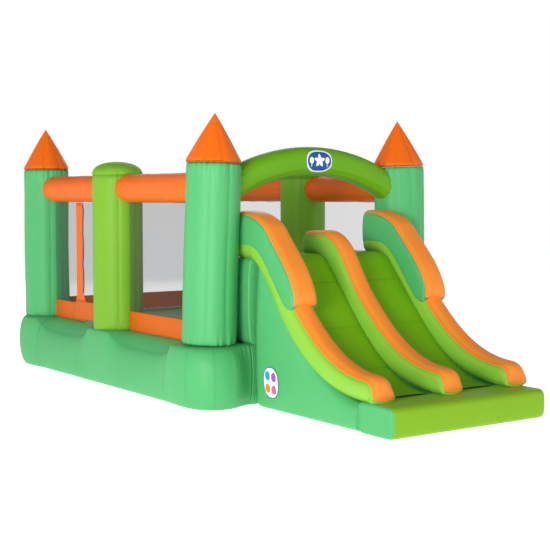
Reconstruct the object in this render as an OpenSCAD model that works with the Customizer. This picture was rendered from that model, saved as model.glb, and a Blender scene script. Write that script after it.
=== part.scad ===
// Inflatable bounce house with four towers, netted walls, an arch and a double slide,
// and the electric blower that keeps it inflated.
// +Z is up, the slides face -Y, the entrance flap is on -X. Millimetres.

/* [Room] */
// Distance between tower axes across the room
room_w = 1950; // [1800:10:2100]
// Distance between tower axes along the room
room_l = 2860; // [2700:10:3000]
// Height of the base ring chambers
base_h = 455; // [440:1:470]
// Width of a base ring chamber
base_wall_w = 400; // [380:5:420]
// Rounding of the base ring chambers
base_round = 70; // [60:5:90]
// Diameter of a corner drum under a tower
drum_d = 450; // [430:5:460]
// Height of the bounce floor
floor_h = 455; // [445:1:455]
// Spacing of the baffles inside the bounce floor
baffle_gap = 200; // [180:5:240]

/* [Towers and pillars] */
// Diameter of a corner tower
tower_d = 410; // [390:1:420]
// Height of the seam under a tower's cone
tower_h = 1823; // [1800:1:1850]
// Height of the whole bounce house
total_h = 2200; // [2150:1:2250]
// Inward lean of the front towers, in degrees
front_lean = 2; // [0:0.5:3]
// Diameter of a middle pillar
pillar_d = 424; // [400:1:430]
// Height of the shoulder of a middle pillar
pillar_h = 1775; // [1765:1:1790]
// Rise of a pillar's domed top
dome_rise = 92; // [80:1:110]

/* [Beams, arch and nets] */
// Diameter of a beam and of the arch
beam_d = 236; // [220:1:240]
// Height of the beam axis
beam_z = 1640; // [1620:1:1650]
// Height of the arch axis at its middle
arch_z = 1853; // [1840:1:1870]
// Bend radius of the arch axis
arch_r = 1600; // [1500:10:1700]
// Height of the orange band under the nets
kick_h = 162; // [150:1:170]
// Thickness of a net panel
net_t = 4; // [3:0.5:6]

/* [Slide] */
// Width of the double slide
slide_w = 1436; // [1400:2:1460]
// Reach of the landing in front of the front tower axes
slide_out = 1820; // [1780:5:1860]
// Width of an outer rail
rail_w = 180; // [160:2:200]
// Width of the divider between the lanes
divider_w = 170; // [150:2:190]
// Height of the platform at the top of the slides
platform_h = 1125; // [1120:1:1130]
// Height of the landing
landing_h = 205; // [200:1:210]

/* [Entrance flap] */
// Width of the flap's net, from its hinge seam
flap_w = 530; // [500:5:560]
// Width of the band on the flap's free edge
flap_band_w = 120; // [100:5:140]

/* [Blower] */
// Distance from the base to the blower's outlet
sleeve_l = 290; // [270:5:320]
// Place of the blower across the room
blower_x = 420; // [300:10:500]
// Radius of the blower's scroll
scroll_r = 165; // [160:1:170]
// Width of the blower's scroll
scroll_w = 190; // [180:1:200]

/* [Hidden] */
$fn = 96;

skin = 3;            // stands for the coated cloth and its hems
cone_brim = 3;       // how far a cone stands proud of its tower
gap = 0.6;           // free space between chambers that press together
seam_gap = 1;        // free space between a chamber and the cloth sewn to it
drum_out = drum_d / 2;
wall_out = drum_out - 20;   // the base walls stand a little behind the drums
scroll_z = 195;      // height of the impeller's axis
blower_out = drum_out + sleeve_l + 2 * scroll_r;
front_y = slide_out - (slide_out + room_l + blower_out) / 2;
back_y = front_y + room_l;
mid_y = front_y + room_l / 2;
side_x = room_w / 2;
front_base_x = side_x - 16;   // the leaning towers start a little inside the drums' axes
blower_y = back_y + drum_out + sleeve_l + scroll_r;
kick_z = base_h + seam_gap;
lean_lift = tower_d / 2 * sin(front_lean) + gap;   // keeps a leaning tower's foot off its drum
net_z = kick_z + kick_h + seam_gap;
net_top = beam_z - beam_d / 2 - seam_gap;

// Points along a cubic curve from a to d
function curve(a, b, c, d, n = 10) = [for (i = [0:n]) let (t = i / n, s = 1 - t)
    s * s * s * a + 3 * s * s * t * b + 3 * s * t * t * c + t * t * t * d];
function reversed(points) = [for (i = [len(points) - 1:-1:0]) points[i]];
function tail(points) = [for (i = [1:len(points) - 1]) points[i]];
function across(v) = [-v[1], v[0]] / norm(v);
// A curve moved sideways by a distance, to its left
function moved(points, d) = [for (i = [0:len(points) - 1])
    points[i] + d * across(points[min(i + 1, len(points) - 1)] - points[max(i - 1, 0)])];

// Slide outlines: the first number is the distance in front of the front tower axes, the second the height
lane = concat(
    curve([250, platform_h], [330, platform_h], [360, 1060], [430, 985], 6),
    tail(curve([430, 985], [700, 700], [1000, 240], [1480, landing_h], 12)));
rail_top = concat(
    [[-30, 1290]],
    curve([230, 1300], [470, 1300], [540, 1010], [720, 830], 9),
    tail(curve([720, 830], [880, 670], [1130, 395], [1540, 372], 10)),
    tail(curve([1540, 372], [1625, 368], [1655, 330], [1655, 260], 5)));
wing_top = concat(
    curve([-30, 1455], [140, 1468], [300, 1450], [420, 1345], 7),
    tail(curve([420, 1345], [560, 1185], [700, 1080], [765, 930], 7)),
    tail(curve([765, 930], [805, 860], [800, 800], [772, 790], 4)));
wing_foot = [for (p = rail_top) if (p[0] < 740) p + [0, seam_gap]];
rail_end = 1655;
climb_foot = 620;    // how far the climbing ramp reaches into the room
climb_rear = -50;    // rear edge of the platform
step_w = 340;        // length of a climbing step
step_d = 84;         // width of a climbing step's sewn base

// ---------- shared shapes ----------

// A rounded bar of one cross-section, lying along Y from the origin
module rounded_bar(width, height, r, length, inset = 0) {
    translate([0, length - inset, 0]) rotate([90, 0, 0])
        linear_extrude(length - 2 * inset) union() {
            translate([inset + r, inset]) square([width - 2 * r - 2 * inset, height - 2 * inset]);
            translate([inset, inset + r]) square([width - 2 * inset, height - 2 * r - 2 * inset]);
            for (x = [r + inset, width - r - inset], y = [r + inset, height - r - inset])
                translate([x, y]) circle(r);
        }
}

module bar_chamber(width, height, r, length) {
    difference() {
        rounded_bar(width, height, r, length);
        rounded_bar(width, height, r, length, skin);
    }
}

// A slab whose outline is seen from the side, from x0 to x1
module side_slab(x0, x1, outline, inset = 0) {
    translate([x1 - inset, front_y, 0]) rotate([90, 0, -90])
        linear_extrude(x1 - x0 - 2 * inset) offset(delta = -inset) polygon(outline);
}

module slab_chamber(x0, x1, outline) {
    difference() {
        side_slab(x0, x1, outline);
        side_slab(x0, x1, outline, skin);
    }
}

// Puts its children on a tower's foot: sx is -1 left or 1 right, front towers lean inwards
module at_tower(sx, front) {
    if (front)
        translate([sx * front_base_x, front_y, base_h + lean_lift])
            rotate([0, -sx * front_lean, 0]) children();
    else
        translate([sx * side_x, back_y, base_h]) children();
}

// Height at which a tower starts
function tower_foot(front) = base_h + seam_gap + (front ? lean_lift : 0);

module tower_solid(sx, front, grow = 0) {
    at_tower(sx, front) translate([0, 0, seam_gap - grow])
        cylinder(d = tower_d + 2 * grow, h = tower_h - tower_foot(front) + 2 * grow);
}

module tower(sx, front) {
    color("mediumseagreen") difference() {
        tower_solid(sx, front);
        tower_solid(sx, front, -skin);
    }
}

module cone(sx, front) {
    brim_d = tower_d + 2 * cone_brim;
    h = total_h - tower_h - gap;
    color("orangered") at_tower(sx, front)
        translate([0, 0, tower_h - tower_foot(front) + seam_gap + gap]) difference() {
            cylinder(d1 = brim_d, d2 = 16, h = h);
            translate([0, 0, skin]) cylinder(d1 = brim_d - 4 * skin, d2 = 6, h = h - 4 * skin);
        }
}

module drum(sx, y) {
    color("mediumseagreen") translate([sx * side_x, y, 0]) difference() {
        cylinder(d = drum_d, h = base_h);
        translate([0, 0, skin]) cylinder(d = drum_d - 2 * skin, h = base_h - 2 * skin);
    }
}

module pillar_solid(sx, inset = 0) {
    r = pillar_d / 2 - inset;
    rise = dome_rise - inset;
    cap_r = (r * r + rise * rise) / (2 * rise);
    translate([sx * side_x, mid_y, 0]) {
        translate([0, 0, base_h + seam_gap + inset])
            cylinder(r = r, h = pillar_h - base_h - seam_gap - inset);
        intersection() {
            translate([0, 0, pillar_h - 1]) cylinder(r = r, h = rise + 1);
            translate([0, 0, pillar_h + rise - cap_r]) sphere(cap_r);
        }
    }
}

module pillar(sx) {
    color("yellowgreen") difference() {
        pillar_solid(sx);
        pillar_solid(sx, skin);
    }
}

// One beam along Y between two axes, cut to fit the round tower and pillar at its ends
module side_beam(sx, y0, y1, front) {
    module bore_cuts(extra) {
        tower_solid(sx, front, gap + extra);
        translate([sx * side_x, mid_y, base_h])
            cylinder(d = pillar_d + 2 * gap + 2 * extra, h = total_h - base_h);
    }
    module tube(r) {
        translate([sx * side_x, y1, beam_z]) rotate([90, 0, 0]) cylinder(r = r, h = y1 - y0);
    }
    difference() {
        tube(beam_d / 2);
        bore_cuts(0);
        difference() {
            tube(beam_d / 2 - skin);
            bore_cuts(skin);
        }
    }
}

module side_beams(sx) {
    color("darkorange") {
        side_beam(sx, mid_y, back_y, false);
        side_beam(sx, front_y, mid_y, true);
    }
}

module beam_back() {
    module tube(r) {
        translate([-side_x, back_y, beam_z]) rotate([0, 90, 0]) cylinder(r = r, h = room_w);
    }
    module ends(extra) {
        for (sx = [-1, 1]) tower_solid(sx, false, gap + extra);
    }
    color("darkorange") difference() {
        tube(beam_d / 2);
        ends(0);
        difference() {
            tube(beam_d / 2 - skin);
            ends(skin);
        }
    }
}

module arch() {
    span = 2 * asin((side_x - 60) / arch_r);
    module bend(r) {
        translate([0, front_y, arch_z - arch_r]) rotate([90, 0, 0])
            rotate([0, 0, 90 - span / 2])
                rotate_extrude(angle = span, $fn = 400) translate([arch_r, 0]) circle(r, $fn = 96);
    }
    color("olivedrab") difference() {
        bend(beam_d / 2);
        bend(beam_d / 2 - skin);
        // its ends stop short of the towers and of their cones' brims
        for (sx = [-1, 1]) at_tower(sx, true)
            cylinder(d = tower_d + 4 * cone_brim, h = total_h - base_h);
    }
}

// An upright sheet along Y, in a side wall
module side_sheet(sx, y0, y1, z0, z1, t) {
    translate([sx * side_x - t / 2, y0, z0]) cube([t, y1 - y0, z1 - z0]);
}

front_bay = [front_y + tower_d / 2 + seam_gap, mid_y - pillar_d / 2 - seam_gap];
rear_bay = [mid_y + pillar_d / 2 + seam_gap, back_y - tower_d / 2 - seam_gap];
hinge_x = -side_x - 12;
hinge_y = rear_bay[0] + 16;
fixed_y = hinge_y + flap_w - flap_band_w;   // the fixed rear net starts behind the flap's band

module nets_left() {
    color("gray") {
        side_sheet(-1, front_bay[0], front_bay[1], net_z, net_top, net_t);
        side_sheet(-1, fixed_y, rear_bay[1], net_z, net_top, net_t);
    }
}

module nets_right() {
    color("gray") for (bay = [front_bay, rear_bay])
        side_sheet(1, bay[0], bay[1], net_z, net_top, net_t);
}

module net_back() {
    color("gray") translate([-side_x + tower_d / 2 + seam_gap, back_y - net_t / 2, net_z])
        cube([room_w - tower_d - 2 * seam_gap, net_t, net_top - net_z]);
}

kick_t = 8;

module kicks_left() {
    color("darkorange") {
        side_sheet(-1, front_bay[0], front_bay[1], kick_z, kick_z + kick_h, kick_t);
        side_sheet(-1, fixed_y, rear_bay[1], kick_z, kick_z + kick_h, kick_t);
    }
}

module kicks_right() {
    color("darkorange") for (bay = [front_bay, rear_bay])
        side_sheet(1, bay[0], bay[1], kick_z, kick_z + kick_h, kick_t);
}

module kick_back() {
    color("darkorange") translate([-side_x + tower_d / 2 + seam_gap, back_y - kick_t / 2, kick_z])
        cube([room_w - tower_d - 2 * seam_gap, kick_t, kick_h]);
}

// ---------- entrance flap ----------

flap_z = base_h + 20;
flap_foot = 90;      // how far the band spreads at its foot

module flap_net() {
    color("gray") translate([hinge_x - 1.5, hinge_y, flap_z])
        cube([3, flap_w, net_top - flap_z - 4]);
}

module flap_band() {
    y0 = flap_w - flap_band_w;
    top = net_top - flap_z - 4;
    color("darkorange") translate([hinge_x - 2, hinge_y, flap_z]) rotate([90, 0, -90])
        linear_extrude(3) mirror([1, 0]) polygon(concat(
            [[0, 0], [flap_w + flap_foot, 0]],
            curve([flap_w + flap_foot, 0], [flap_w + flap_foot - 15, 110], [flap_w, 160], [flap_w, 260], 6),
            [[flap_w, top], [y0, top]],
            curve([y0, kick_h + 60], [y0, kick_h + 20], [y0 - 20, kick_h], [y0 - 60, kick_h], 5),
            [[0, kick_h]]));
}

// ---------- base ----------

module base_side(sx) {
    length = room_l - drum_d - 2 * gap;
    inner = side_x + wall_out - base_wall_w;
    color("mediumseagreen") translate([sx > 0 ? inner : -inner - base_wall_w, front_y + drum_out + gap, 0])
        bar_chamber(base_wall_w, base_h, base_round, length);
}

module base_end(y, sy) {
    length = room_w - drum_d - 2 * gap;
    color("mediumseagreen")
        translate([-length / 2, y + sy * (wall_out - base_wall_w / 2), 0])
            translate([0, base_wall_w / 2, 0]) rotate([0, 0, -90])
                bar_chamber(base_wall_w, base_h, base_round, length);
}

floor_x = side_x + wall_out - base_wall_w - gap;
floor_y = [front_y - wall_out + base_wall_w + gap, back_y + wall_out - base_wall_w - gap];

module bounce_floor() {
    color("forestgreen") translate([-floor_x, floor_y[0], 0]) difference() {
        cube([2 * floor_x, floor_y[1] - floor_y[0], floor_h]);
        translate([skin, skin, skin])
            cube([2 * floor_x - 2 * skin, floor_y[1] - floor_y[0] - 2 * skin, floor_h - 2 * skin]);
    }
}

module floor_baffles() {
    inside = skin + gap;
    color("darkgreen") for (y = [floor_y[0] + baffle_gap:baffle_gap:floor_y[1] - baffle_gap / 2])
        translate([-floor_x + inside, y, inside]) cube([2 * (floor_x - inside), skin, floor_h - 2 * inside]);
}

// ---------- slide ----------

half_w = slide_w / 2;

module slide_body() {
    outline = concat([[drum_out + 5, 0], [drum_out + 5, platform_h]], lane, [[1480, 0]]);
    color("olivedrab") slab_chamber(-half_w, half_w, outline);
}

module slide_landing() {
    depth = slide_out - 1480 - gap;
    color("olivedrab") translate([half_w, front_y - 1480 - gap - depth, 0]) rotate([0, 0, 90])
        bar_chamber(depth, landing_h, 60, slide_w);
}

module climb_block() {
    bottom = base_h + gap;
    outline = [[drum_out + 5 - gap, bottom], [drum_out + 5 - gap, platform_h],
               [climb_rear, platform_h], [-climb_foot, bottom + 20], [-climb_foot, bottom]];
    color("olivedrab") slab_chamber(-half_w, half_w, outline);
}

// Foam-filled steps sewn across the climbing ramp, two columns of three
module climb_steps() {
    drop = platform_h - base_h - gap - 20;
    run = climb_foot + climb_rear;
    slope = atan2(drop, run);
    color("gold") for (row = [1:3], x = [-half_w / 2, half_w / 2]) {
        along = row / 4;
        translate([x - step_w / 2, front_y - climb_rear + along * run, platform_h - along * drop])
            rotate([-slope, 0, 0]) translate([0, 0, gap]) rotate([0, 90, 0])
                intersection() {
                    cylinder(d = step_d, h = step_w);
                    translate([-step_d, -step_d, 0]) cube([step_d, 2 * step_d, step_w]);
                }
    }
}

rail_outline = concat(rail_top, [[rail_end, landing_h + seam_gap]],
    reversed([for (p = lane) p + [0, seam_gap]]), [[-30, platform_h + seam_gap]]);

module outer_rail(sx) {
    color("yellowgreen") slab_chamber(sx > 0 ? half_w - rail_w : -half_w, sx > 0 ? half_w : rail_w - half_w,
        rail_outline);
}

module divider() {
    color("yellowgreen") slab_chamber(-divider_w / 2, divider_w / 2, rail_outline);
}

module wing(sx) {
    color("mediumseagreen") slab_chamber(sx > 0 ? half_w - rail_w : -half_w,
        sx > 0 ? half_w : rail_w - half_w, concat(wing_top, reversed(wing_foot)));
}

trim_t = 5;

// A strip of cloth lying on an outline
module strip(x0, x1, line) {
    side_slab(x0, x1, concat(moved(line, seam_gap), reversed(moved(line, seam_gap + trim_t))));
}

module outer_trim(sx) {
    x0 = sx > 0 ? half_w - rail_w + 5 : -half_w + 5;
    low = [for (p = rail_top) if (p[0] > 830) p];
    color("darkorange") {
        strip(x0, x0 + rail_w - 10, [for (i = [0:len(wing_top) - 3]) wing_top[i]]);
        strip(x0, x0 + rail_w - 10, low);
    }
}

module trim_divider() {
    color("darkorange") strip(5 - divider_w / 2, divider_w / 2 - 5, rail_top);
}

// ---------- small pieces on the bounce house ----------

tab_w = 60;
tab_l = 130;
tab_t = 4;
tab_root = 46;       // how far a tab reaches in under the rounded edge of the base
eyelet_r = 8;
eyelet_out = 25;     // from the eyelet's centre to the tab's free end

// Each ground anchor: where its tab leaves the hem, and the turn that points it outwards
anchors = concat(
    [for (x = [-700, 0, 700]) [x, back_y + wall_out - tab_root, 0]],
    [for (f = [500, 1250]) [half_w + gap, front_y - f, -90]]);

module at_anchors() {
    for (a = anchors) translate([a[0], a[1], 0]) rotate([0, 0, a[2]]) children();
}

module anchor_tabs() {
    color("black") at_anchors() difference() {
        translate([-tab_w / 2, 0, 0]) cube([tab_w, tab_l, tab_t]);
        translate([0, tab_l - eyelet_out, -1]) cylinder(r = eyelet_r + 2.5, h = tab_t + 2);
    }
}

module anchor_grommets() {
    color("goldenrod") at_anchors() translate([0, tab_l - eyelet_out, 0]) difference() {
        union() {
            cylinder(r = eyelet_r + 2.45, h = tab_t + 0.5);
            translate([0, 0, tab_t + 0.05]) cylinder(r = eyelet_r + 6, h = 1);
        }
        translate([0, 0, -1]) cylinder(r = eyelet_r, h = tab_t + 4);
    }
}

module badges() {
    color("royalblue") {
        translate([0, front_y - beam_d / 2 - 14, arch_z - 5]) rotate([90, 0, 0])
            linear_extrude(3) scale([1.3, 1]) circle(95);
        translate([-half_w - 5, front_y - 500, 210]) rotate([0, -90, 0])
            linear_extrude(3) scale([1, 1.2]) circle(95);
    }
}

// ---------- air supply ----------

sleeve_r = 78;
sleeve_z = 150;
sleeve_y = back_y + wall_out + gap;

module air_sleeve() {
    color("mediumseagreen") translate([blower_x, sleeve_y, sleeve_z]) rotate([-90, 0, 0]) difference() {
        cylinder(r = sleeve_r, h = sleeve_l + 10);
        translate([0, 0, -1]) cylinder(r = sleeve_r - skin, h = sleeve_l + 12);
    }
}

module sleeve_strap() {
    color("black") translate([blower_x, sleeve_y + sleeve_l - 38, sleeve_z]) rotate([-90, 0, 0]) {
        difference() {
            cylinder(r = sleeve_r + 4, h = 40);
            translate([0, 0, -1]) cylinder(r = sleeve_r + 0.4, h = 42);
        }
        translate([-25, -sleeve_r - 12, 2]) cube([50, 8.5, 36]);
    }
}

port_x = -520;
port_r = 62;
port_z = 220;

module deflation_port() {
    color("dimgray") translate([port_x, sleeve_y, port_z]) rotate([-90, 0, 0]) difference() {
        union() {
            cylinder(r = port_r + 14, h = 4);
            cylinder(r = port_r, h = 22);
        }
        translate([0, 0, -1]) cylinder(r = port_r - 6, h = 24);
        translate([-20, -port_r - 20, 7]) cube([40, 24, 20]);
    }
}

cap_hinge_z = port_z + port_r + 10;
cap_hinge_y = sleeve_y + 14;

module deflation_cap() {
    color("dimgray") {
        translate([port_x, sleeve_y + 22.6, port_z]) rotate([-90, 0, 0]) cylinder(r = port_r + 3, h = 7);
        translate([port_x - 14, cap_hinge_y - 4, cap_hinge_z - 13]) cube([28, 13, 17]);
    }
}

outlet_r = 72;
wall = 4;
outlet_y = blower_y - scroll_r - 60;
eye_r = 82;

module blower_housing() {
    color("gold") difference() {
        union() {
            translate([blower_x - scroll_w / 2, blower_y, scroll_z]) rotate([0, 90, 0])
                cylinder(r = scroll_r, h = scroll_w);
            translate([blower_x, blower_y, sleeve_z]) rotate([90, 0, 0])
                cylinder(r = outlet_r, h = blower_y - outlet_y);
        }
        translate([blower_x - scroll_w / 2 + wall, blower_y, scroll_z]) rotate([0, 90, 0])
            cylinder(r = scroll_r - wall, h = scroll_w - 2 * wall);
        translate([blower_x, blower_y, sleeve_z]) rotate([90, 0, 0])
            cylinder(r = outlet_r - wall, h = blower_y - outlet_y + 1);
        translate([blower_x, blower_y, scroll_z]) rotate([0, 90, 0]) cylinder(r = eye_r, h = scroll_w);
        translate([blower_x - scroll_w, blower_y, scroll_z]) rotate([0, 90, 0])
            cylinder(r = motor_r + 0.5, h = scroll_w);
        translate([blower_x - switch_w / 2, blower_y - 22, scroll_z]) cube([switch_w, 44, scroll_r + 10]);
    }
}

module blower_feet() {
    color("dimgray") for (side = [-1, 1])
        translate([blower_x + side * (scroll_w / 2 - 25) - 20, blower_y - 130, 0]) difference() {
            cube([40, 260, 95]);
            translate([-1, 130, scroll_z]) rotate([0, 90, 0]) cylinder(r = scroll_r + gap, h = 42);
            translate([-1, 40, -1]) cube([42, 180, 13]);
        }
}

module intake_grille() {
    x = blower_x + scroll_w / 2 + 0.3;
    color("dimgray") translate([x, blower_y, scroll_z]) rotate([0, 90, 0]) difference() {
        union() {
            for (r = [24:18:78])
                difference() {
                    cylinder(r = r + 3, h = 2.4);
                    translate([0, 0, -1]) cylinder(r = r - 3, h = 6);
                }
            cylinder(r = 9, h = 4);
            // the spokes lie across the rings
            for (a = [0:60:300]) rotate([0, 0, a]) translate([5, -2.5, 1.6]) cube([88, 5, 2]);
            difference() {
                cylinder(r = 103, h = 4);
                translate([0, 0, -1]) cylinder(r = 87, h = 6);
            }
        }
        for (a = [45:90:315]) rotate([0, 0, a]) translate([95, 0, -1]) cylinder(r = 2.2, h = 6);
    }
}

module grille_screws() {
    x = blower_x + scroll_w / 2 + 4.35;
    color("silver") for (a = [45:90:315])
        translate([x, blower_y, scroll_z]) rotate([0, 90, 0]) rotate([0, 0, a]) translate([95, 0, 0]) {
            cylinder(r = 4.2, h = 2.5);
            translate([0, 0, -4]) cylinder(r = 2.1, h = 4.1);
        }
}

motor_r = 58;
shaft_r = 6;
fan_r = 112;
fan_x = [blower_x - 5, blower_x + 78];

module impeller() {
    blades = 30;
    color("dimgray") translate([fan_x[0], blower_y, scroll_z]) rotate([0, 90, 0]) difference() {
        union() {
            cylinder(r = fan_r, h = 4);
            cylinder(r = 20, h = 40);
            for (i = [0:blades - 1]) rotate([0, 0, i * 360 / blades])
                translate([fan_r - 26, -1, 0]) cube([24, 2, fan_x[1] - fan_x[0]]);
            translate([0, 0, fan_x[1] - fan_x[0] - 4]) difference() {
                cylinder(r = fan_r, h = 4);
                translate([0, 0, -1]) cylinder(r = fan_r - 26, h = 6);
            }
        }
        translate([0, 0, -1]) cylinder(r = shaft_r, h = 36);
    }
}

module motor_shaft() {
    color("silver") translate([blower_x - 70, blower_y, scroll_z]) rotate([0, 90, 0])
        cylinder(r = shaft_r, h = 70 - 5 + 30);
}

module motor() {
    color("dimgray") translate([blower_x - scroll_w / 2 - 45, blower_y, scroll_z]) rotate([0, 90, 0])
        difference() {
            union() {
                cylinder(r = motor_r, h = 115);
                translate([0, 0, 40]) cylinder(r = motor_r + 14, h = 4.6);
                for (i = [0:11]) rotate([0, 0, i * 30]) translate([0, -2, 4]) cube([motor_r + 5, 4, 32]);
                // the cable gland, low on the motor's outer face
                translate([30, 0, -18]) cylinder(r = 11, h = 19);
            }
            translate([30, 0, -19]) cylinder(r = 4, h = 25);
            translate([0, 0, 50]) cylinder(r = shaft_r + 0.05, h = 66);
        }
}

switch_w = 26;
switch_z = scroll_z + scroll_r;

module rocker_switch() {
    color("red") translate([blower_x, blower_y, switch_z - 4]) rotate([0, 90, 0])
        linear_extrude(switch_w - 3, center = true) difference() {
            circle(18);
            translate([-40, -30]) rotate([0, 0, 8]) square([30, 60]);
            translate([6, -30]) square([30, 60]);
        }
}

module blower_handle() {
    z = scroll_z + scroll_r + 44;
    module post(x) {
        translate([x, blower_y, scroll_z + scroll_r - 18]) cylinder(r = 9, h = z - scroll_z - scroll_r + 18);
    }
    color("dimgray") difference() {
        union() {
            post(blower_x - 70);
            post(blower_x + 70);
            translate([blower_x - 79, blower_y, z]) rotate([0, 90, 0]) cylinder(r = 12, h = 158);
        }
        translate([blower_x - scroll_w, blower_y, scroll_z]) rotate([0, 90, 0])
            cylinder(r = scroll_r + gap, h = 2 * scroll_w);
    }
}

// ---------- the nodes ----------

base_side(-1);  // base_left
base_side(1);  // base_right
base_end(back_y, 1);  // base_back
base_end(front_y, -1);  // base_front
drum(-1, front_y);  // drum_front_left
drum(1, front_y);  // drum_front_right
drum(-1, back_y);  // drum_back_left
drum(1, back_y);  // drum_back_right
bounce_floor();
floor_baffles();
tower(-1, true);  // tower_front_left
tower(1, true);  // tower_front_right
tower(-1, false);  // tower_back_left
tower(1, false);  // tower_back_right
cone(-1, true);  // cone_front_left
cone(1, true);  // cone_front_right
cone(-1, false);  // cone_back_left
cone(1, false);  // cone_back_right
pillar(-1);  // pillar_left
pillar(1);  // pillar_right
side_beams(-1);  // beams_left
side_beams(1);  // beams_right
beam_back();
arch();
nets_left();
nets_right();
net_back();
kicks_left();
kicks_right();
kick_back();
flap_net();
flap_band();
slide_body();
slide_landing();
climb_block();
climb_steps();
outer_rail(-1);  // rail_left
outer_rail(1);  // rail_right
divider();
wing(-1);  // wing_left
wing(1);  // wing_right
outer_trim(-1);  // trim_left
outer_trim(1);  // trim_right
trim_divider();
anchor_tabs();
anchor_grommets();
badges();
air_sleeve();
sleeve_strap();
deflation_port();
deflation_cap();
blower_housing();
blower_feet();
intake_grille();
grille_screws();
impeller();
motor();
motor_shaft();
rocker_switch();
blower_handle();
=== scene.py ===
"""Looks of the inflatable bounce house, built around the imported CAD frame.

Chambers of coated cloth are lofted surfaces with seams, puckers and bulges. Metres, +Z up, slides towards -Y.
"""
import math

import bmesh
import bpy
import numpy as np
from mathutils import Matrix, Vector
from mathutils.bvhtree import BVHTree


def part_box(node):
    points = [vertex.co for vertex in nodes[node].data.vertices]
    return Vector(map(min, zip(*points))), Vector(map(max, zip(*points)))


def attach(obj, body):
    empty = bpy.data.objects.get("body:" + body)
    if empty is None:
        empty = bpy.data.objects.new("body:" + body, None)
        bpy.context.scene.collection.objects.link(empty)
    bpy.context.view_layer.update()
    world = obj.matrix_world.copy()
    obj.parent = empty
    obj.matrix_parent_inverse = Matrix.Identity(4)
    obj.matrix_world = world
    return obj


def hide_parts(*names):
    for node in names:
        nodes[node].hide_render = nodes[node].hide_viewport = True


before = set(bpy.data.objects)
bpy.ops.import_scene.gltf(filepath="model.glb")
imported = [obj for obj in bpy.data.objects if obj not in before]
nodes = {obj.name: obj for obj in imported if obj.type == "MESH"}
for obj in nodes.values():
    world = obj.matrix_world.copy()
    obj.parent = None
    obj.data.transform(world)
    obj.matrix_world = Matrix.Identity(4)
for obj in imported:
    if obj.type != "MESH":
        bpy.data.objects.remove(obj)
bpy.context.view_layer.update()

HOUSE = "bounce_house"
TAU = 2 * math.pi


# ---------- sizes, from the frame ----------

def axis_of(node):
    """Middle of the lower ring and of the upper ring of an upright CAD node."""
    co = np.array([v.co for v in nodes[node].data.vertices])
    middle = (co[:, 2].min() + co[:, 2].max()) / 2
    return co[co[:, 2] < middle].mean(0), co[co[:, 2] > middle].mean(0)


def span(node, axis):
    lo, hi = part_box(node)
    return lo[axis], hi[axis]


TOWERS = ("front_left", "front_right", "back_left", "back_right")
TOWER_R = (span("tower_back_left", 0)[1] - span("tower_back_left", 0)[0]) / 2
SIDE_X = axis_of("tower_back_right")[0][0]
FRONT_Y = axis_of("tower_front_left")[0][1]
BACK_Y = axis_of("tower_back_left")[0][1]
BASE_H = span("base_left", 2)[1]
PILLAR_Y = sum(span("pillar_left", 1)) / 2
PILLAR_R = (span("pillar_left", 1)[1] - span("pillar_left", 1)[0]) / 2
PILLAR_TOP = span("pillar_left", 2)[1]
BEAM_R = (span("beam_back", 2)[1] - span("beam_back", 2)[0]) / 2
BEAM_Z = sum(span("beam_back", 2)) / 2
ARCH_TOP = span("arch", 2)[1]
ARCH_BEND = 1.6
KICK_Z = span("kick_back", 2)
NET_Z = span("net_back", 2)
SLIDE_HALF = span("slide_body", 0)[1]
RAIL_W = SLIDE_HALF - span("rail_right", 0)[0]
DIVIDER_HALF = span("divider", 0)[1]
LANDING_H = span("slide_landing", 2)[1]
WALL_IN = {"side": SIDE_X - span("base_right", 0)[0], "back": BACK_Y - span("base_back", 1)[0],
           "front": span("base_front", 1)[1] - FRONT_Y}


# ---------- small helpers ----------

def ramp(x, a, b):
    """0 at a, 1 at b, with a smooth turn between them."""
    t = np.clip((np.asarray(x, float) - a) / (b - a), 0, 1)
    return t * t * (3 - 2 * t)


def cubic(a, b, c, d, n):
    t = np.linspace(0, 1, n)[:, None]
    s = 1 - t
    a, b, c, d = (np.array(p, float) for p in (a, b, c, d))
    return s ** 3 * a + 3 * s * s * t * b + 3 * s * t * t * c + t ** 3 * d


def chain(*pieces):
    """Curves joined end to end, each shared point once."""
    return np.vstack([pieces[0]] + [p[1:] for p in pieces[1:]])


def lengths(points):
    return np.concatenate([[0], np.cumsum(np.linalg.norm(np.diff(points, axis=0), axis=1))])


def spaced(points, n, eased=False):
    """The curve again as n points, evenly spaced, or closer together towards its ends."""
    run = lengths(points)
    t = np.linspace(0, 1, n)
    if eased:
        t = (1 - np.cos(math.pi * t)) / 2
    at = t * run[-1]
    return np.stack([np.interp(at, run, points[:, k]) for k in range(points.shape[1])], 1)


def waves(t, count, low, high, seed):
    """A sum of sines of t in turns, with whole numbers of waves, about -1 to 1."""
    pick = np.random.default_rng(seed)
    total = sum(np.sin(pick.integers(low, high) * t + pick.uniform(0, TAU)) for _ in range(count))
    return total / math.sqrt(count)


def make_piece(name, bm, material, slot, body=HOUSE, replaces=(), smooth=True):
    """A mesh object on its body. One named after a CAD node is that node's skin, and stands for it."""
    if name in nodes:
        replaces = replaces or [name]
        name = f"{name}_skin"
    mesh = bpy.data.meshes.new(name)
    bm.to_mesh(mesh)
    bm.free()
    obj = bpy.data.objects.new(name, mesh)
    bpy.context.scene.collection.objects.link(obj)
    for m in material if isinstance(material, (list, tuple)) else [material]:
        mesh.materials.append(m)
    if smooth:
        mesh.polygons.foreach_set("use_smooth", [True] * len(mesh.polygons))
    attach(obj, body)
    if replaces:
        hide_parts(*replaces)
    return obj


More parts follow.
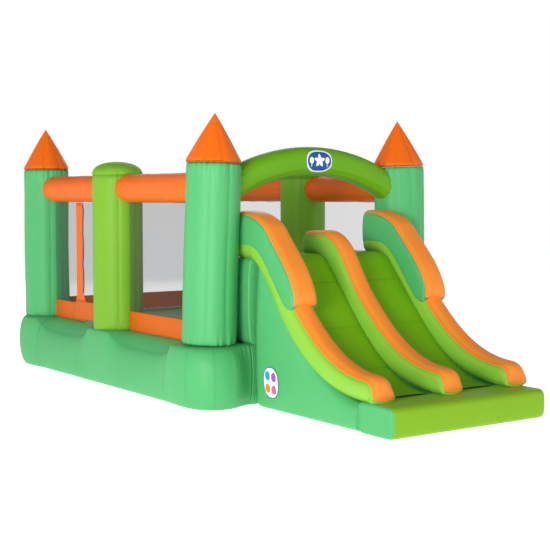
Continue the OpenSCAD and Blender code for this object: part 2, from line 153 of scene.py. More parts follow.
def loft(name, rings, material, slot, closed=True, cap=True, seam=None, paint=None, **kwargs):
    """A skin over rings of points, [ring, point, xyz].

    cap closes the two ends, seam is 0 to 1 at each point, paint(point) picks a face's material.
    """
    rings = np.array(rings, float)
    rings[..., 2] = np.maximum(rings[..., 2], 0)      # nothing reaches below the ground
    count, around = rings.shape[:2]
    bm = bmesh.new()
    layer = bm.verts.layers.float.new("seam")
    uv = bm.loops.layers.uv.new("UVMap")
    verts = [[bm.verts.new(p) for p in ring] for ring in rings]
    along = lengths(rings.mean(1)) if cap else lengths(rings[:, around // 2])
    loop = np.vstack([rings[count // 2], rings[count // 2][:1]])
    across = lengths(loop)
    last = around if closed else around - 1
    for i in range(count - 1):
        for j in range(last):
            k = (j + 1) % around
            face = bm.faces.new((verts[i][j], verts[i + 1][j], verts[i + 1][k], verts[i][k]))
            corners = ((i, j), (i + 1, j), (i + 1, j + 1), (i, j + 1))
            for corner, (a, b) in zip(face.loops, corners):
                corner[uv].uv = (across[b], along[a])
            if paint is not None:
                face.material_index = int(paint(rings[i, j]))
    if cap:
        for i in (0, count - 1):
            middle = bm.verts.new(rings[i].mean(0))
            for j in range(around):
                face = bm.faces.new((middle, verts[i][j], verts[i][(j + 1) % around]))
                face.material_index = int(paint(rings[i].mean(0))) if paint is not None else 0
        bmesh.ops.recalc_face_normals(bm, faces=bm.faces)
    if seam is not None:
        seam = np.broadcast_to(seam, (count, around))
        for i in range(count):
            for j in range(around):
                verts[i][j][layer] = float(seam[i, j])
    return make_piece(name, bm, material, slot, **kwargs)


def normals_of(rings):
    """Unit normals of closed rings, from their own differences. They may all point inwards."""
    across = np.roll(rings, -1, 1) - np.roll(rings, 1, 1)
    along = np.gradient(rings, axis=0)
    n = np.cross(across, along)
    return n / np.maximum(np.linalg.norm(n, axis=2, keepdims=True), 1e-9)


# ---------- materials ----------

def linear(r, g, b):
    """A colour given as screen values from 0 to 255."""
    return tuple(c / 255 / 12.92 if c <= 10 else ((c / 255 + 0.055) / 1.055) ** 2.4 for c in (r, g, b))


class Graph:
    """A material's node tree, with short calls to add nodes and links."""

    def __init__(self, name):
        self.material = bpy.data.materials.new(name)
        self.material.use_nodes = True
        self.tree = self.material.node_tree
        self.shader = self.tree.nodes["Principled BSDF"]

    def node(self, kind, inputs=(), **settings):
        made = self.tree.nodes.new(kind)
        for key, value in settings.items():
            setattr(made, key, value)
        for key, value in dict(inputs).items():
            if isinstance(value, bpy.types.NodeSocket):
                self.tree.links.new(value, made.inputs[key])
            else:
                made.inputs[key].default_value = value
        return made

    def math(self, operation, a, b=0.0, c=0.0):
        return self.node("ShaderNodeMath", {0: a, 1: b, 2: c}, operation=operation).outputs[0]

    def noise(self, scale, detail=3.0):
        where = self.node("ShaderNodeTexCoord").outputs["Object"]
        inputs = {"Vector": where, "Scale": scale, "Detail": detail}
        return self.node("ShaderNodeTexNoise", inputs).outputs["Fac"]

    def mix(self, factor, a, b):
        made = self.node("ShaderNodeMix", {"Factor": factor}, data_type="RGBA")
        for socket, value in ((made.inputs[6], a), (made.inputs[7], b)):
            if isinstance(value, bpy.types.NodeSocket):
                self.tree.links.new(value, socket)
            else:
                socket.default_value = (*value, 1)
        return made.outputs[2]

    def bump(self, height, strength, distance, normal=None):
        inputs = {"Height": height, "Strength": strength, "Distance": distance}
        if normal is not None:
            inputs["Normal"] = normal
        return self.node("ShaderNodeBump", inputs).outputs["Normal"]

    def finish(self, **sockets):
        for key, value in sockets.items():
            socket = self.shader.inputs[key.replace("_", " ")]
            if isinstance(value, bpy.types.NodeSocket):
                self.tree.links.new(value, socket)
            else:
                socket.default_value = value
        return self.material


WEAVE = TAU / 0.0032     # one over-and-under of the cloth's yarns every 3.2 mm
NET_MESH = TAU / 0.02    # and of the net's cords every 20 mm


def weave_height(g, pitch=WEAVE):
    """A plain weave from the UV map, which is in metres."""
    uv = g.node("ShaderNodeSeparateXYZ", {0: g.node("ShaderNodeUVMap").outputs["UV"]})
    warp = g.math("SINE", g.math("MULTIPLY", uv.outputs["X"], pitch))
    weft = g.math("SINE", g.math("MULTIPLY", uv.outputs["Y"], pitch))
    return g.math("MULTIPLY", warp, weft)


def cloth(name, colour, deep, rough=0.46, crease=0.5, sheen=0.02):
    """Coated Oxford cloth: a satin face, a fine weave, soft mottling, and darker, duller seams."""
    g = Graph(name)
    mottle = g.math("MULTIPLY_ADD", g.noise(2.2, 4), 0.9, -0.1)
    tone = g.mix(mottle, linear(*colour), tuple(c * 0.9 for c in linear(*colour)))
    seam = g.node("ShaderNodeAttribute", attribute_name="seam").outputs["Fac"]
    tone = g.mix(g.math("MULTIPLY", seam, 0.55), tone, linear(*deep))
    worn = g.math("MULTIPLY_ADD", g.noise(14, 5), 0.14, rough - 0.07)
    roughness = g.math("MULTIPLY_ADD", seam, 0.15, worn)
    soft = g.bump(g.noise(5.5, 4), crease * 0.6, 0.02)
    wrinkled = g.bump(g.noise(26, 3), crease * 0.4, 0.004, soft)
    normal = g.bump(weave_height(g), 0.25, 0.0002, wrinkled)
    return g.finish(Base_Color=tone, Roughness=roughness, Normal=normal, Sheen_Weight=sheen,
                    Specular_IOR_Level=0.22)


def netting(name, colour, cover):
    """Knotted mesh, which covers that share of what is behind it."""
    g = Graph(name)
    holes = g.math("ABSOLUTE", weave_height(g, NET_MESH))
    alpha = g.math("MULTIPLY_ADD", holes, -0.16, cover + 0.065)
    shade = g.mix(g.noise(3, 2), linear(*colour), tuple(c * 0.85 for c in linear(*colour)))
    return g.finish(Base_Color=shade, Alpha=alpha, Roughness=0.8, Specular_IOR_Level=0.2)


def moulded(name, colour, rough=0.4, grain=0.12, metal=0.0):
    """Moulded plastic or metal with a fine grain and slight wear."""
    g = Graph(name)
    tone = g.mix(g.noise(9, 5), linear(*colour), tuple(c * 0.82 for c in linear(*colour)))
    roughness = g.math("MULTIPLY_ADD", g.noise(40, 4), 0.2, rough - 0.1)
    normal = g.bump(g.noise(700, 2), grain, 0.0003)
    return g.finish(Base_Color=tone, Roughness=roughness, Normal=normal, Metallic=metal)


GREEN = cloth("green_cloth", (82, 176, 107), (22, 104, 48))
LIME = cloth("lime_cloth", (118, 174, 40), (58, 112, 4))
RAIL = cloth("rail_cloth", (138, 196, 62), (74, 130, 10))
ARCH_LIME = cloth("arch_cloth", (100, 162, 10), (52, 108, 2))
LANE = cloth("slide_cloth", (116, 176, 2), (66, 124, 0), rough=0.42)
LANDING = cloth("landing_cloth", (130, 180, 16), (80, 130, 4), rough=0.4)
ORANGE = cloth("orange_cloth", (234, 104, 8), (176, 60, 2))
TRIM = cloth("trim_cloth", (250, 144, 48), (196, 90, 10))
KICK = cloth("kick_cloth", (216, 98, 0), (170, 60, 0))
FLOOR = cloth("floor_cloth", (120, 166, 60), (30, 64, 12), rough=0.5)
STEP = cloth("step_cloth", (246, 196, 40), (190, 130, 10), rough=0.5)
NET = netting("net", (80, 80, 82), 0.30)
WEBBING = cloth("webbing", (34, 34, 38), (14, 14, 16), rough=0.75, crease=0.2, sheen=0.2)
BLUE = cloth("badge_blue", (24, 84, 156), (12, 50, 110), rough=0.4, crease=0.1)
WHITE = cloth("badge_white", (240, 243, 246), (180, 190, 200), rough=0.4, crease=0.1)
PATCH_COLOURS = [cloth(f"patch_{i}", c, tuple(v * 0.6 for v in c), rough=0.4, crease=0.1)
                 for i, c in enumerate([(60, 150, 215), (170, 80, 190), (240, 130, 60), (230, 90, 140)])]


# ---------- towers, cones and pillars ----------

def upright_basis(axis):
    e1 = np.cross([0, 1, 0], axis)
    e1 /= np.linalg.norm(e1)
    return e1, np.cross(axis, e1)


def tube(start, end, radius, heights, around=144):
    """Rings round a straight axis: radius(turn, height) at each height."""
    axis = (end - start) / np.linalg.norm(end - start)
    e1, e2 = upright_basis(axis)
    turn = np.linspace(0, TAU, around, endpoint=False)
    rings = []
    for h in heights:
        r = radius(turn, h)
        rings.append(start + axis * h + np.outer(r * np.cos(turn), e1) + np.outer(r * np.sin(turn), e2))
    return np.array(rings)


def panelled(turn, panels, depth, seed):
    """Each panel's slight crown between its upright seams."""
    pick = np.random.default_rng(seed)
    shift = pick.uniform(0, TAU)
    depths = depth * pick.uniform(0.45, 1.25, panels)
    where = (turn + shift) / TAU * panels
    return depths[np.floor(where).astype(int) % panels] * np.abs(np.sin(math.pi * where)) ** 0.6


def tower(place, seed):
    foot, top = axis_of(f"tower_{place}")
    height = np.linalg.norm(top - foot)
    ends = np.concatenate([np.linspace(0, 0.16, 14), np.linspace(0.16, height - 0.16, 34)[1:-1],
                           np.linspace(height - 0.16, height, 14)])

    def radius(turn, h):
        edge = min(h, height - h)
        pinch = 0.010 * math.exp(-edge / 0.018)
        pucker = 0.005 * math.exp(-edge / 0.05) * waves(turn, 5, 18, 46, seed + (h > height / 2))
        sway = 0.004 * math.sin(math.pi * h / height * 2.3 + seed) * np.cos(turn + seed)
        return TOWER_R - 0.008 - pinch + pucker + sway + panelled(turn, 9, 0.012, seed)

    seam = np.exp(-np.minimum(ends, height - ends) / 0.008)[:, None]
    loft(f"tower_{place}", tube(foot, top, radius, ends), GREEN, "green_cloth", seam=seam)


def cone(place, seed):
    foot, top = axis_of(f"tower_{place}")
    axis = (top - foot) / np.linalg.norm(top - foot)
    along = np.array([(np.array(v.co) - foot) @ axis for v in nodes[f"cone_{place}"].data.vertices])
    brim, tip = foot + axis * along.min(), foot + axis * along.max()
    height = along.max() - along.min()
    brim_r = TOWER_R + 0.004
    heights = np.concatenate([[0.0, 0.001, 0.004, 0.009], np.linspace(0.016, 0.96, 34) * height,
                              [0.985 * height, height]])

    def radius(turn, h):
        share = h / height
        if h < 0.003:
            return np.full_like(turn, brim_r - 0.012 + 3 * h)
        gore = panelled(turn, 8, 0.020, seed) * (1 - share) * min(1, share * 12 + 0.2)
        pucker = 0.003 * math.exp(-h / 0.04) * waves(turn, 5, 16, 40, seed)
        return brim_r * (1 - share * 0.975) + 0.006 * math.sin(math.pi * share) + gore - 0.004 + pucker

    seam = np.exp(-heights / 0.006)[:, None]
    loft(f"cone_{place}", tube(brim, tip, radius, heights), ORANGE, "orange_cloth", seam=seam)


def pillar(side, seed):
    foot, _ = axis_of(f"pillar_{side}")
    foot = np.array([foot[0], PILLAR_Y, span(f"pillar_{side}", 2)[0]])
    height = PILLAR_TOP - foot[2]
    dome_rise = 0.115
    shoulder = height - dome_rise
    body = np.concatenate([np.linspace(0, 0.12, 12), np.linspace(0.12, shoulder, 34)[1:]])
    bend = np.linspace(0, math.pi / 2, 20)[1:]
    heights = np.concatenate([body, shoulder + dome_rise * np.sin(bend)])

    def radius(turn, h):
        panel = panelled(turn, 8, 0.010, seed)
        if h > shoulder:
            t = (h - shoulder) / dome_rise
            fall = math.sqrt(max(1 - t ** 2.4, 1e-6))
            return (PILLAR_R - 0.004) * fall + panel * fall
        pucker = 0.003 * math.exp(-h / 0.04) * waves(turn, 5, 18, 40, seed)
        cap = 0.006 * math.exp(-((h - shoulder) / 0.008) ** 2)
        cap_pucker = 0.003 * math.exp(-abs(h - shoulder) / 0.05) * waves(turn, 5, 20, 44, seed + 1)
        return PILLAR_R - 0.007 - 0.009 * math.exp(-h / 0.016) + pucker + panel - cap + cap_pucker

    seam = (np.exp(-heights / 0.008) + np.exp(-((heights - shoulder) / 0.006) ** 2))[:, None]
    loft(f"pillar_{side}", tube(foot, foot + [0, 0, height], radius, heights), LIME, "lime_cloth",
         seam=np.minimum(seam, 1))


for index, place in enumerate(TOWERS):
    tower(place, 11 + index * 3)
    cone(place, 31 + index * 3)
for index, side in enumerate(("left", "right")):
    pillar(side, 51 + index * 3)


# ---------- beams and arch ----------

def distance_to_axis(points, foot, top):
    axis = (top - foot) / np.linalg.norm(top - foot)
    offset = points - foot
    return np.linalg.norm(offset - np.outer(offset @ axis, axis), axis=1)


def meets(route, posts, radius):
    """For each point of a ring moved along route(t), with t from 0 to 1, where it reaches the post's skin."""
    low, high = np.zeros(len(route(0.0))), np.ones(len(route(0.0)))
    for _ in range(26):
        middle = (low + high) / 2
        inside = distance_to_axis(route(middle), *posts) < radius
        high = np.where(inside, middle, high)
        low = np.where(inside, low, middle)
    return (low + high) / 2


def bridge(name, point, posts, radii, material, slot, replaces, seed, stations=64, around=72):
    """A tube from post to post. point(t, turn, swell) gives its surface, with t from -1 to 1."""
    turn = np.linspace(0, TAU, around, endpoint=False)
    reach = [meets(lambda t, s=s: point(s * np.asarray(t), turn, np.zeros(around)), posts[k], radii[k])
             for k, s in enumerate((-1, 1))]
    place = np.linspace(-1, 1, stations)
    place = np.sign(place) * (1 - (1 - np.abs(place)) ** 1.35)
    rings, seams = [], []
    for p in place:
        at = np.where(p < 0, p * reach[0], p * reach[1])
        edge = (1 - abs(p)) * 0.5
        swell = (-0.011 * math.exp(-edge / 0.012)
                 + 0.003 * math.exp(-edge / 0.05) * waves(turn, 5, 9, 24, seed + (p > 0))
                 + 0.0012 * waves(turn + 3 * p, 3, 2, 5, seed + 5))
        rings.append(point(at, turn, swell))
        seams.append(math.exp(-edge / 0.01))
    return loft(name, np.array(rings), material, slot, seam=np.array(seams)[:, None], replaces=replaces)


def straight(start, end):
    """Surface of a straight beam, from start (t = -1) to end (t = 1)."""
    middle, half = (start + end) / 2, (end - start) / 2
    side = np.cross(half / np.linalg.norm(half), [0, 0, 1])

    def point(t, turn, swell):
        r = BEAM_R - 0.002 + swell
        along = middle + np.outer(np.broadcast_to(t, turn.shape), half)
        return along + np.outer(r * np.cos(turn), side) + np.outer(r * np.sin(turn), [0, 0, 1])

    return point


def beams():
    sink = 0.012
    for sign, side in ((-1, "left"), (1, "right")):
        x = sign * SIDE_X
        pillar_posts = [np.array([x, PILLAR_Y, 0.0]), np.array([x, PILLAR_Y, 2.0])]
        for bay, y, place in (("front", FRONT_Y, f"front_{side}"), ("rear", BACK_Y, f"back_{side}")):
            bridge(f"beam_{side}_{bay}", straight(np.array([x, y, BEAM_Z]), np.array([x, PILLAR_Y, BEAM_Z])),
                   [axis_of(f"tower_{place}"), pillar_posts], [TOWER_R - sink, PILLAR_R - sink],
                   ORANGE, "orange_cloth", [f"beams_{side}"], 71 + int(abs(y) * 10) + (sign > 0))
    bridge("beam_back", straight(np.array([-SIDE_X, BACK_Y, BEAM_Z]), np.array([SIDE_X, BACK_Y, BEAM_Z])),
           [axis_of("tower_back_left"), axis_of("tower_back_right")], [TOWER_R - sink] * 2,
           ORANGE, "orange_cloth", ["beam_back"], 83)


ARCH_HALF_TURN = 0.66     # a little more than half of the bend, in radians
ARCH_SEAMS = np.radians([130, 230])      # its two lower seams, as turns from the outside of the bend


def arch_point(t, turn, swell):
    """The arch's skin: t is -1 to 1 along its bend, turn goes round it from the outside of the bend."""
    square = 1 - 0.035 * np.cos(4 * turn)
    r = (BEAM_R - 0.001) * square + swell
    bend = ARCH_HALF_TURN * np.broadcast_to(t, turn.shape)
    reach = ARCH_BEND + r * np.cos(turn)
    low = ARCH_TOP - BEAM_R - ARCH_BEND
    return np.stack([reach * np.sin(bend), FRONT_Y - r * np.sin(turn), low + reach * np.cos(bend)], 1)


def arch():
    around = 96
    turn = np.linspace(0, TAU, around, endpoint=False)
    posts = [axis_of("tower_front_left"), axis_of("tower_front_right")]
    reach = [meets(lambda t, s=s: arch_point(s * np.asarray(t), turn, np.zeros(around)), p, TOWER_R - 0.012)
             for s, p in zip((-1, 1), posts)]
    stations = np.linspace(-1, 1, 150)
    rings, seams = [], []
    low_seam = sum(np.exp(-((turn - at) / 0.10) ** 2) for at in ARCH_SEAMS)
    for p in stations:
        at = np.where(p < 0, p * reach[0], p * reach[1])
        edge = (1 - abs(p)) * 0.9
        gather = 0.5 + 0.5 * waves(np.array([p * 5.0]), 4, 1, 5, 97)[0]
        ripple = 0.0028 * gather * (math.sin(p * 95) + 0.6 * math.sin(p * 143 + 1))
        swell = (-0.010 * math.exp(-edge / 0.012) + 0.003 * math.exp(-edge / 0.05) * waves(turn, 5, 9, 24, 90)
                 + (ripple - 0.004) * low_seam)
        rings.append(arch_point(at, turn, swell))
        seams.append(np.maximum(math.exp(-edge / 0.01),
                                0.35 * np.exp(-((turn - ARCH_SEAMS[0]) / 0.03) ** 2)))
    loft("arch", np.array(rings), ARCH_LIME, "lime_cloth", seam=np.array(seams))


beams()
arch()


# ---------- the base ring and its drums ----------

BAY_DROP = 0.105         # how far the wall's top seam dips between towers and pillars
CORNER_OUT = {"side": 0.022, "front": 0.088, "back": 0.03}      # how far the drums stand out past the walls
DRUM = 0.26              # how far a drum reaches along each wall from its tower's axis
BASE_STEP = 0.0125       # between samples along a wall
SIDE_POINTS = 26         # on a section's outer side, from the ground up to the seam


def perimeter():
    """Samples round the base: place, outward direction, section name. Starts at the front left drum."""
    corners = [(-SIDE_X, FRONT_Y, "front_left", -math.pi / 2, "left"),
               (-SIDE_X, BACK_Y, "back_left", math.pi, "back"),
               (SIDE_X, BACK_Y, "back_right", math.pi / 2, "right"),
               (SIDE_X, FRONT_Y, "front_right", 0.0, "front")]
    arrivals = np.array([(-1, 0), (0, 1), (1, 0), (0, -1)])      # the way of travel into each corner
    samples = []

    def straight_run(a, b, way, name):
        count = max(2, int(round(np.linalg.norm(b - a) / BASE_STEP)))
        for t in np.linspace(0, 1, count, endpoint=False):
            samples.append((a * (1 - t) + b * t, np.array([-way[1], way[0]], float), name))

    for k, (x, y, place, first, wall) in enumerate(corners):
        here, after = np.array([x, y]), np.array(corners[(k + 1) % 4][:2])
        arrive, leave = arrivals[k], arrivals[(k + 1) % 4]
        straight_run(here - arrive * DRUM, here, arrive, f"drum_{place}")
        for t in np.linspace(0, 1, 34, endpoint=False):
            angle = first - t * math.pi / 2
            samples.append((here, np.array([math.cos(angle), math.sin(angle)]), f"drum_{place}"))
        straight_run(here, here + leave * DRUM, leave, f"drum_{place}")
        straight_run(here + leave * DRUM, after - leave * DRUM, leave, f"base_{wall}")
    return samples


def dip(value, low, high):
    """0 at both ends of a bay and 1 over its middle."""
    share = (2 * value - low - high) / (high - low)
    return (1 - abs(share) ** 5) ** 1.2 if abs(share) < 1 else 0.0


def bay_share(place, normal):
    """How far into the open stretch of a bay a sample is."""
    x, y = place
    if abs(normal[0]) > 0.99:
        return max(dip(y, FRONT_Y + TOWER_R - 0.02, PILLAR_Y - PILLAR_R + 0.03),
                   dip(y, PILLAR_Y + PILLAR_R - 0.03, BACK_Y - TOWER_R + 0.02))
    if normal[1] > 0.99:
        return dip(x, -SIDE_X + TOWER_R - 0.02, SIDE_X - TOWER_R + 0.02)
    return 0.0


def section(place, normal, run):
    """The base's closed outline at one sample: distance out from the tower axes, and height."""
    bay = bay_share(place, normal)
    from_corner = math.hypot(abs(place[0]) - SIDE_X, min(abs(place[1] - FRONT_Y), abs(place[1] - BACK_Y)))
    cornered = 1 - float(ramp(from_corner, 0.04, 0.36 if abs(normal[0]) > 0.5 else 0.25))
    ends = CORNER_OUT["front"] if normal[1] < 0 else CORNER_OUT["back"]
    extra = cornered * (CORNER_OUT["side"] * normal[0] ** 2 + ends * normal[1] ** 2)
    seam_z = BASE_H - BAY_DROP * bay
    seam_out = TOWER_R - 0.006 - 0.036 * bay + 0.25 * extra
    foot = 0.176 + 0.92 * extra
    belly = 0.245 + 1.15 * extra + 0.012 * cornered
    side = cubic((foot, 0.0), (belly, 0.03), (belly, seam_z * (0.72 + 0.2 * cornered)), (seam_out, seam_z),
                 SIDE_POINTS)
    lift = 0.010 * (1 - bay)
    top = cubic((seam_out, seam_z), (seam_out - 0.05, seam_z + 0.05 * bay + lift),
                (0.07, BASE_H + lift * 0.5), (0.0, BASE_H), 14)
    facing = "side" if abs(normal[0]) > 0.5 else "back" if normal[1] > 0 else "front"
    inside = 0.001 - WALL_IN[facing]
    # where the decks of two walls cross at a corner, one lies a little under the other
    deck_z = BASE_H - (0.0 if abs(normal[1]) > 0.99 else 0.003 if abs(normal[0]) > 0.99 else 0.006)
    deck = np.linspace((0.0, BASE_H), (inside, deck_z), 5)
    inner = np.linspace((inside, deck_z), (inside, 0.0), 5)
    under = np.linspace((inside, 0.0), (foot, 0.0), 7)[:-1]
    line = chain(side, top, deck, inner, under)
    if normal[1] > 0.99:      # the back wall is flatter, where the air sleeve and the port are sewn in
        line[:, 0] = np.where(line[:, 0] > 0, line[:, 0] * (1 - 0.31 * min(bay / 0.5, 1)), line[:, 0])
    gather = 0.0036 * (math.sin(run * 132) + 0.7 * math.sin(run * 205 + 1.3))
    gather *= 0.6 + 0.4 * math.sin(run * 9)
    away = np.abs(np.arange(len(line)) - (SIDE_POINTS - 1))
    line[1:, 0] += (gather * np.exp(-away / 4.0) - 0.005 * np.exp(-away / 1.2))[1:]
    marks = 0.35 * np.exp(-away / 0.7)
    marks[0] = 0.6
    return line, marks


def base():
    samples = perimeter()
    lines, marks, run = [], [], 0.0
    for i, (place, normal, _) in enumerate(samples):
        run += np.linalg.norm(place - samples[i - 1][0]) if i else 0
        line, mark = section(place, normal, run)
        level = np.outer(line[:, 0], normal) + place
        lines.append(np.column_stack([level, line[:, 1]]))
        marks.append(mark)
    lines, marks = np.array(lines), np.array(marks)
    names = [name for _, _, name in samples]
    for name in dict.fromkeys(names):
        members = [i for i, n in enumerate(names) if n == name]
        members.append((members[-1] + 1) % len(names))
        seam = marks[members].copy()
        if name.startswith("drum"):
            for at in (0.38, 0.62):      # two upright seams on each drum
                k = int(at * len(members))
                seam[k, :SIDE_POINTS] = np.maximum(seam[k, :SIDE_POINTS], 0.3)
        loft(name, lines[members], GREEN, "green_cloth", seam=seam)


base()


# ---------- the bounce floor ----------

def bounce_floor():
    lo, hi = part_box("bounce_floor")
    channel = 0.2
    rows = np.arange(lo.y, hi.y + 0.001, 0.0125)
    inset = np.array([0.0, 0.0, 0.004, 0.014, 0.03, 0.05])
    rings = []
    for y in rows:
        crown = abs(math.sin(math.pi * (y - lo.y) / channel)) ** 0.55
        top = hi.z - 0.030 * (1 - crown)
        drop = np.array([top, 0.05, 0.026, 0.011, 0.003, 0.0])
        left = [(lo.x + i, top - d) for i, d in zip(inset, drop)]
        deck = [(x, top + 0.002 * math.sin(x * 9 + y * 3)) for x in np.linspace(lo.x + 0.1, hi.x - 0.1, 40)]
        right = [(hi.x - i, top - d) for i, d in zip(inset[::-1], drop[::-1])]
        bottom = [(x, 0.0) for x in np.linspace(hi.x - 0.1, lo.x + 0.1, 8)]
        rings.append([(x, y, z) for x, z in left + deck + right + bottom])
    seam = np.array([math.exp(-abs(math.sin(math.pi * (y - lo.y) / channel)) / 0.08) for y in rows])[:, None]
    floor = loft("bounce_floor", rings, FLOOR, "floor_cloth", seam=seam,
                 replaces=["bounce_floor", "floor_baffles"])


bounce_floor()


# ---------- nets and kick bands ----------

def tower_edge(place, x, z):
    """How far along Y from its foot a tower's skin reaches at that x and height."""
    foot, top = axis_of(f"tower_{place}")
    share = (z - foot[2]) / (top[2] - foot[2])
    axis_x = foot[0] + (top[0] - foot[0]) * share
    return math.sqrt(max((TOWER_R - 0.010) ** 2 - (x - axis_x) ** 2, 0.0))


def wall_sheet(name, edges, heights, out, billow, material, slot, replaces, thick=0.0, body=HOUSE, seed=1,
               across_x=False, plane=0.0, columns=44, held="stretched", rests_on=()):
    """An upright sheet from edges(z) = (first, last) along the wall, billowing by up to billow."""
    rows = np.linspace(*heights, 26)
    grid = []
    for r, z in enumerate(rows):
        first, last = edges(z)
        share = np.linspace(0, 1, columns)
        along = first + (last - first) * share
        v = r / (len(rows) - 1)
        bow = billow * 4 * share * (1 - share) * (0.25 + 3 * v * (1 - v))
        ripple = waves(share * 3.1 + v, 3, 1, 5, seed) * np.sin(math.pi * share) * (0.3 + v * (1 - v))
        bow = bow + 0.25 * billow * ripple
        shift = plane + out * bow
        z_row = np.full(columns, z)
        grid.append(np.stack([along, shift, z_row] if across_x else [shift, along, z_row], 1))
    grid = np.array(grid)
    first, last = edges(sum(heights) / 2)
    hem = np.zeros(grid.shape[:2])
    hem[:1] = hem[-1:] = 1
    hem[:, :1] = hem[:, -1:] = 1
    if thick:
        normal = np.array([0, 1, 0]) if across_x else np.array([1, 0, 0])
        back = grid - normal * thick * out
        rings = np.concatenate([grid, back[:, ::-1]], axis=1)
        piece = loft(name, rings, material, slot, seam=np.concatenate([hem, hem], axis=1) * 0.5,
                     replaces=replaces, body=body)
    else:
        piece = loft(name, grid, material, slot, closed=False, cap=False, seam=hem,
                     replaces=replaces, body=body)
    return piece


FLAP_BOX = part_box("flap_net")
BAND_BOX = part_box("flap_band")
HINGE_Y = FLAP_BOX[0].y
FLAP_END = FLAP_BOX[1].y
BAND_W = 0.12
FIXED_Y = FLAP_END - BAND_W


def nets_and_kicks():
    overlap = 0.012
    net_heights = (NET_Z[0] - 0.004, NET_Z[1] + overlap)

    def back_edges(z):
        return -SIDE_X + tower_edge("back_left", -SIDE_X, z), SIDE_X - tower_edge("back_right", SIDE_X, z)

    def net_and_kick(place, edges, out, billow, nodes, plane, seed, posts, beam, wall, **more):
        wall_sheet(f"net_{place}", edges, net_heights, out, billow, NET, "net", [nodes[0]],
                   plane=plane, seed=seed, rests_on=[*posts, beam], **more)
        wall_sheet(f"kick_{place}", edges, KICK_Z, out, 0.012, KICK, "orange_cloth", [nodes[1]], thick=0.004,
                   plane=plane + out * 0.002, seed=seed + 2, rests_on=[*posts, wall], **more)

    for sign, side in ((-1, "left"), (1, "right")):
        x = sign * SIDE_X
        bays = {
            "front": lambda z, x=x, side=side: (FRONT_Y + tower_edge(f"front_{side}", x, z),
                                                PILLAR_Y - PILLAR_R + 0.012),
            "rear": lambda z, x=x, side=side: (FIXED_Y if side == "left" else PILLAR_Y + PILLAR_R - 0.012,
                                               BACK_Y - tower_edge(f"back_{side}", x, z)),
        }
        for bay, edges in bays.items():
            place = "front" if bay == "front" else "back"
            net_and_kick(f"{side}_{bay}", edges, sign, 0.012, [f"nets_{side}", f"kicks_{side}"], x, 3,
                         [f"tower_{place}_{side}_skin", f"pillar_{side}_skin"], f"beam_{side}_{bay}",
                         f"base_{side}_skin")
    net_and_kick("back", back_edges, 1, 0.014, ["net_back", "kick_back"], BACK_Y, 4,
                 ["tower_back_left_skin", "tower_back_right_skin"], "beam_back_skin", "base_back_skin",
                 across_x=True, columns=64)


nets_and_kicks()


# ---------- entrance flap ----------

def entrance_flap():
    body = "entrance_flap"
    x = (BAND_BOX[0].x + BAND_BOX[1].x) / 2
    foot_z, top_z = BAND_BOX[0].z, BAND_BOX[1].z
    kick_top = foot_z + (KICK_Z[1] - KICK_Z[0])
    flare = BAND_BOX[1].y - FLAP_END

    def band_edges(z):
        spread = flare * (1 - float(ramp(z, foot_z, foot_z + 0.25)))
        fillet = 0.06 * (1 - float(ramp(z, kick_top, kick_top + 0.07)))
        return FIXED_Y - fillet, FLAP_END + spread

    def flap_sheet(name, edges, heights, billow, plane, seed, *looks, **more):
        wall_sheet(name, edges, heights, -1, billow, *looks, body=body, plane=plane, seed=seed, held="hung",
                   rests_on=["pillar_left_skin"], **more)

    flap_sheet("flap_strap", band_edges, (kick_top - 0.003, top_z), 0.004, x, 8,
               ORANGE, "orange_cloth", ["flap_band"], thick=0.003, columns=14)
    flap_sheet("flap_foot_band", lambda z: (HINGE_Y + 0.004, band_edges(z)[1]), (foot_z, kick_top), 0.008,
               x - 0.001, 9, KICK, "orange_cloth", ["flap_band"], thick=0.003, columns=40)
    flap_sheet("flap_net", lambda z: (HINGE_Y + 0.002, FIXED_Y + 0.02), (kick_top - 0.01, FLAP_BOX[1].z),
               0.006, x + 0.002, 10, NET, "net", ["flap_net"])
    # painted shadow: a thin wavy black strip along the strap's inner edge stands for the dark shadow line
    # there, not for a part of its own
    painted_shadow_points = []
    for z in np.linspace(kick_top + 0.08, top_z - 0.02, 60):
        y = FIXED_Y - 0.022 + 0.009 * math.sin(z * 21) + 0.004 * math.sin(z * 47)
        painted_shadow_points.append([(x - 0.006, y - 0.006, z), (x - 0.007, y, z), (x - 0.006, y + 0.006, z),
                         (x - 0.003, y + 0.006, z), (x - 0.003, y - 0.006, z)])
    loft("flap_painted_shadow", painted_shadow_points, WEBBING, "webbing", body=body)


entrance_flap()


# ---------- slide ----------

def outline(*curves):
    """Joined cubic curves, given in mm and returned in metres. Points are (forward of the towers, height)."""
    return chain(*[cubic(*points, 40) for points in curves]) / 1000


PLATFORM = span("climb_block", 2)[1] * 1000
LANE_LINE = outline(
    [(-48, PLATFORM), (50, PLATFORM), (150, PLATFORM), (250, PLATFORM)],
    [(250, PLATFORM), (330, PLATFORM), (360, 1060), (430, 985)],
    [(430, 985), (700, 700), (1000, 240), (1480, LANDING_H * 1000)])
RAIL_TOP = outline(
    [(-30, 1290), (60, 1292), (150, 1296), (230, 1300)],
    [(230, 1300), (470, 1300), (540, 1010), (720, 830)],
    [(720, 830), (880, 670), (1130, 395), (1540, 372)],
    [(1540, 372), (1625, 368), (1658, 330), (1655, 225)])
RAIL_FOOT = outline(
    [(-30, 1105), (60, 1110), (120, 1115), (200, 1105)],
    [(200, 1105), (420, 980), (560, 700), (700, 560)],
    [(700, 560), (900, 360), (1150, 222), (1500, 210)],
    [(1500, 210), (1560, 208), (1600, 208), (1652, 208)])
WING_TOP = outline(
    [(-30, 1455), (140, 1468), (300, 1450), (420, 1345)],
    [(420, 1345), (560, 1185), (700, 1080), (765, 930)],
    [(765, 930), (805, 860), (800, 800), (768, 786)])
